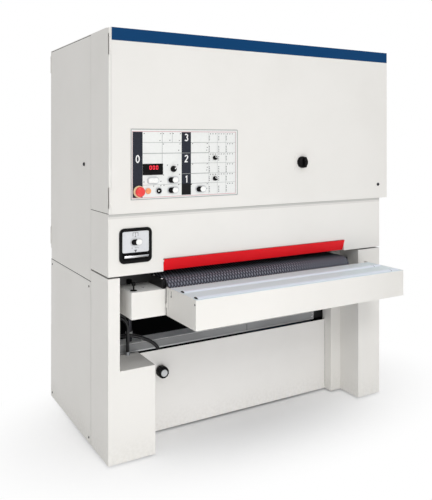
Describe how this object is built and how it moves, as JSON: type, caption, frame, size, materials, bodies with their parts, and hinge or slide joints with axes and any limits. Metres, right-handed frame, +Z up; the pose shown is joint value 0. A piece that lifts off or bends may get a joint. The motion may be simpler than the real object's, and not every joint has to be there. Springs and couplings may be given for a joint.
{
  "type": "wide belt sander",
  "caption": "Wide belt sander: sheet-metal cabinet with hinged doors, control fascia, swinging guard, rising conveyor table, roller infeed and driven sanding heads.",
  "frame": {"origin": "on the floor, at the centre of the part's box seen from above", "axes": "+X to the operator's right along the front, +Y from the infeed side to the outfeed side, +Z up"},
  "size_m": [1.778, 1.354, 2.11],
  "materials": {
    "white_paint": "satin powder coat",
    "frame_paint": "matt structural paint",
    "bare_steel": "machined",
    "oiled_steel": "dark oiled",
    "galvanised": "zinc plated sheet",
    "roller_aluminium": "satin anodised",
    "conveyor_rubber": "diamond textured",
    "contact_rubber": "ground",
    "drive_rubber": "moulded",
    "abrasive_cloth": "coated grit",
    "motor_paint": "semi gloss",
    "guard_red": "gloss",
    "stop_red": "gloss",
    "black_plastic": "fine grained",
    "white_plastic": "gloss",
    "fascia_film": "printed film"
  },
  "bodies": {
    "machine_frame": {"levelling_feet": "bare_steel", "left_pedestal": "frame_paint", "right_frame": "frame_paint", "cross_beams": "bare_steel", "left_base_cover": "white_paint", "right_base_cover": "white_paint", "front_base_panel": "white_paint", "left_lower_panel": "white_paint", "right_lower_panel": "white_paint", "right_upper_panel": "white_paint", "rear_upper_panel": "white_paint", "rear_lower_panel": "white_paint", "top_cover": "white_paint", "cabinet_shell": "white_paint", "switchgear": "galvanised", "apron": "white_paint", "station_panel": "black_plastic", "head_beams": "frame_paint", "main_motor": "motor_paint", "drive_belts": "drive_rubber", "dust_manifold": "galvanised", "lift_screws": "oiled_steel", "air_hose": "drive_rubber", "panel_screws": "bare_steel", "pressure_bars": "bare_steel", "sanding_belt_1": "abrasive_cloth", "sanding_belt_2": "abrasive_cloth"},
    "door": {"front_door": "white_paint", "control_fascia": "fascia_film"},
    "side_panel_door": {"side_door": "white_paint"},
    "table": {"conveyor_bed": "frame_paint", "conveyor_belt": "conveyor_rubber", "belt_gearmotor": "motor_paint", "infeed_table": "white_paint", "table_end_box": "white_paint"},
    "emergency_stop": {"emergency_stop": "stop_red"},
    "thickness_rocker": {"thickness_rocker": "white_plastic"},
    "mode_selector": {"mode_selector": "black_plastic"},
    "twin_key_1": {"twin_key_1": "black_plastic"},
    "twin_key_2": {"twin_key_2": "black_plastic"},
    "twin_key_3": {"twin_key_3": "black_plastic"},
    "reset_button": {"reset_button": "black_plastic"},
    "selector_2": {"selector_2": "black_plastic"},
    "selector_3": {"selector_3": "black_plastic"},
    "main_switch": {"main_switch": "black_plastic"},
    "door_lock": {"door_lock": "oiled_steel"},
    "side_lock": {"side_lock": "oiled_steel"},
    "guard_bar": {"guard_bar": "guard_red"},
    "panel_knob": {"panel_knob": "black_plastic"},
    "station_key": {"station_key": "black_plastic"},
    "front_roller": {"front_roller": "bare_steel"},
    "rear_roller": {"rear_roller": "bare_steel"},
    "infeed_roller_1": {"infeed_roller_1": "roller_aluminium"},
    "infeed_roller_2": {"infeed_roller_2": "roller_aluminium"},
    "tension_knob": {"tension_knob": "black_plastic"},
    "contact_roller_1": {"contact_roller_1": "contact_rubber"},
    "contact_roller_2": {"contact_roller_2": "contact_rubber"},
    "tension_roller_1": {"tension_roller_1": "bare_steel"},
    "tension_roller_2": {"tension_roller_2": "bare_steel"},
    "motor_pulley": {"motor_pulley": "bare_steel"}
  },
  "joints": [
    {"name": "table_lift", "type": "slide", "parent": "machine_frame", "child": "table", "axis": [0, 0, 1], "range_m": [-0.142, 0.024]},
    {"name": "rear_roller_spin", "type": "hinge", "parent": "table", "child": "rear_roller", "pos_m": [-0.019, 0.617, 0.792], "axis": [1, 0, 0], "continuous": true},
    {"name": "front_roller_spin", "type": "hinge", "parent": "table", "child": "front_roller", "pos_m": [-0.019, -0.336, 0.792], "axis": [1, 0, 0], "continuous": true},
    {"name": "infeed_roller_1_spin", "type": "hinge", "parent": "table", "child": "infeed_roller_1", "pos_m": [0.042, -0.515, 0.795], "axis": [1, 0, 0], "continuous": true},
    {"name": "infeed_roller_2_spin", "type": "hinge", "parent": "table", "child": "infeed_roller_2", "pos_m": [0.042, -0.645, 0.795], "axis": [1, 0, 0], "continuous": true},
    {"name": "tension_knob_turn", "type": "hinge", "parent": "table", "child": "tension_knob", "pos_m": [-0.748, -0.328, 0.83], "axis": [0, 0, 1], "continuous": true},
    {"name": "front_door_swing", "type": "hinge", "parent": "machine_frame", "child": "door", "pos_m": [-0.877, -0.355, 1.614], "axis": [0, 0, -1], "range_deg": [0, 110]},
    {"name": "emergency_stop_push", "type": "slide", "parent": "door", "child": "emergency_stop", "axis": [0, 1, 0], "range_m": [0, 0.006], "stiffness_N_per_m": 2000},
    {"name": "thickness_rocker_tilt", "type": "hinge", "parent": "door", "child": "thickness_rocker", "pos_m": [-0.66116, -0.3625, 1.33085], "axis": [0, 0, 1], "range_deg": [-6, 6], "stiffness_Nm_per_rad": 0.5},
    {"name": "mode_selector_turn", "type": "hinge", "parent": "door", "child": "mode_selector", "pos_m": [-0.5521, -0.365, 1.38407], "axis": [0, 1, 0], "range_deg": [-45, 45]},
    {"name": "twin_key_1_tilt", "type": "hinge", "parent": "door", "child": "twin_key_1", "pos_m": [-0.55388, -0.3625, 1.33017], "axis": [0, 0, 1], "range_deg": [-6, 6], "stiffness_Nm_per_rad": 0.5},
    {"name": "twin_key_2_tilt", "type": "hinge", "parent": "door", "child": "twin_key_2", "pos_m": [-0.55388, -0.3625, 1.28068], "axis": [0, 0, 1], "range_deg": [-6, 6], "stiffness_Nm_per_rad": 0.5},
    {"name": "twin_key_3_tilt", "type": "hinge", "parent": "door", "child": "twin_key_3", "pos_m": [-0.39892, -0.3625, 1.28], "axis": [0, 0, 1], "range_deg": [-6, 6], "stiffness_Nm_per_rad": 0.5},
    {"name": "reset_button_push", "type": "slide", "parent": "door", "child": "reset_button", "axis": [0, 1, 0], "range_m": [0, 0.004], "stiffness_N_per_m": 1500},
    {"name": "selector_2_turn", "type": "hinge", "parent": "door", "child": "selector_2", "pos_m": [-0.31787, -0.365, 1.43493], "axis": [0, 1, 0], "range_deg": [-45, 45]},
    {"name": "selector_3_turn", "type": "hinge", "parent": "door", "child": "selector_3", "pos_m": [-0.31787, -0.365, 1.33017], "axis": [0, 1, 0], "range_deg": [-45, 45]},
    {"name": "main_switch_turn", "type": "hinge", "parent": "door", "child": "main_switch", "pos_m": [0.239, -0.365, 1.403], "axis": [0, 1, 0], "range_deg": [0, 90]},
    {"name": "door_lock_turn", "type": "hinge", "parent": "door", "child": "door_lock", "pos_m": [0.8155, -0.355, 1.26], "axis": [0, 1, 0], "range_deg": [0, 90]},
    {"name": "side_door_swing", "type": "hinge", "parent": "machine_frame", "child": "side_panel_door", "pos_m": [-0.883, 0.596, 1.434], "axis": [0, 0, -1], "range_deg": [0, 110]},
    {"name": "side_lock_turn", "type": "hinge", "parent": "side_panel_door", "child": "side_lock", "pos_m": [-0.883, -0.007, 1.402], "axis": [1, 0, 0], "range_deg": [0, 90]},
    {"name": "guard_swing", "type": "hinge", "parent": "machine_frame", "child": "guard_bar", "pos_m": [-0.023, -0.341, 0.936], "axis": [1, 0, 0], "range_deg": [0, 35]},
    {"name": "panel_knob_turn", "type": "hinge", "parent": "machine_frame", "child": "panel_knob", "pos_m": [-0.515, -0.155, 0.322], "axis": [0, 1, 0], "continuous": true},
    {"name": "station_key_tilt", "type": "hinge", "parent": "machine_frame", "child": "station_key", "pos_m": [-0.74268, -0.3545, 1.04125], "axis": [0, 0, 1], "range_deg": [-6, 6], "stiffness_Nm_per_rad": 0.5},
    {"name": "contact_roller_1_spin", "type": "hinge", "parent": "machine_frame", "child": "contact_roller_1", "pos_m": [-0.019, 0.082, 0.9519], "axis": [1, 0, 0], "continuous": true},
    {"name": "contact_roller_2_spin", "type": "hinge", "parent": "machine_frame", "child": "contact_roller_2", "pos_m": [-0.019, 0.417, 0.9519], "axis": [1, 0, 0], "continuous": true},
    {"name": "tension_roller_1_spin", "type": "hinge", "parent": "machine_frame", "child": "tension_roller_1", "pos_m": [-0.019, 0.082, 1.8227], "axis": [1, 0, 0], "continuous": true},
    {"name": "tension_roller_2_spin", "type": "hinge", "parent": "machine_frame", "child": "tension_roller_2", "pos_m": [-0.019, 0.417, 1.8227], "axis": [1, 0, 0], "continuous": true},
    {"name": "motor_pulley_spin", "type": "hinge", "parent": "machine_frame", "child": "motor_pulley", "pos_m": [0.747, 0.2495, 0.33], "axis": [1, 0, 0], "continuous": true}
  ],
  "couplings": [
    {"joint": "front_roller_spin", "follows": "rear_roller_spin", "ratio": 1},
    {"joint": "contact_roller_2_spin", "follows": "contact_roller_1_spin", "ratio": 1},
    {"joint": "tension_roller_1_spin", "follows": "contact_roller_1_spin", "ratio": 1.1667},
    {"joint": "tension_roller_2_spin", "follows": "contact_roller_1_spin", "ratio": 1.1667},
    {"joint": "motor_pulley_spin", "follows": "contact_roller_1_spin", "ratio": 0.82759}
  ]
}
